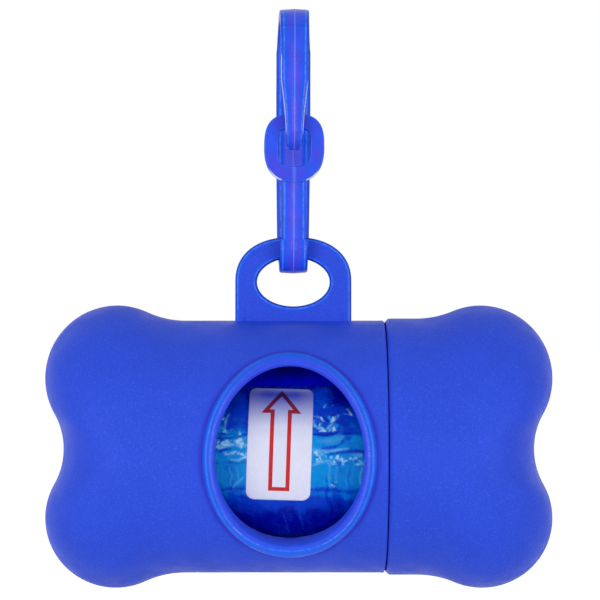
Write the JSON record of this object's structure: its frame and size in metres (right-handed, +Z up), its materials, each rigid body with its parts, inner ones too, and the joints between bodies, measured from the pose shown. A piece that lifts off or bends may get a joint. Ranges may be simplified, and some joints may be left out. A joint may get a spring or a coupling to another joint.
{
  "type": "dog poop bag dispenser",
  "caption": "Bone-shaped case that holds a roll of dog waste bags behind an oval outlet, with a pull-off end cap and a snap hook through its tab.",
  "frame": {"origin": "centre of the half-round top arch of the hook, on the axis of the bar, ring or strap that it hangs from", "axes": "+X along the bone towards the end cap, +Y away from the front with its outlet, +Z up along the hook"},
  "size_m": [0.083, 0.0428, 0.0953],
  "materials": {
    "case_plastic": "royal blue polypropylene with a fine spark-eroded grain",
    "hook_plastic": "smooth, slightly glossy royal blue polypropylene with a parting line",
    "core_card": "grey-brown wound cardboard",
    "bag_film": "thin crinkled blue polyethylene film",
    "label_paper": "smooth white label paper with an outlined arrow"
  },
  "bodies": {
    "hook": {"hook_frame": "hook_plastic"},
    "gate": {"hook_gate": "hook_plastic"},
    "shell": {"main_shell": "case_plastic"},
    "cap": {"end_cap": "case_plastic"},
    "roll": {"roll_core": "core_card", "bag_roll": "bag_film", "outer_bag": "bag_film", "roll_label": "label_paper"}
  },
  "joints": [
    {"name": "bone_swing", "type": "hinge", "parent": "hook", "child": "shell", "pos_m": [0, 0, -0.03262], "axis": [1, 0, 0], "range_deg": [-90, 90]},
    {"name": "gate_flex", "type": "hinge", "parent": "hook", "child": "gate", "pos_m": [0, -0.00568, -0.002], "axis": [-1, 0, 0], "range_deg": [0, 25], "stiffness_Nm_per_rad": 0.2},
    {"name": "cap_pull", "type": "slide", "parent": "shell", "child": "cap", "axis": [1, 0, 0], "range_m": [0, 0.03]},
    {"name": "roll_spin", "type": "hinge", "parent": "shell", "child": "roll", "pos_m": [0.0009, 0, -0.06662], "axis": [1, 0, 0], "continuous": true}
  ]
}
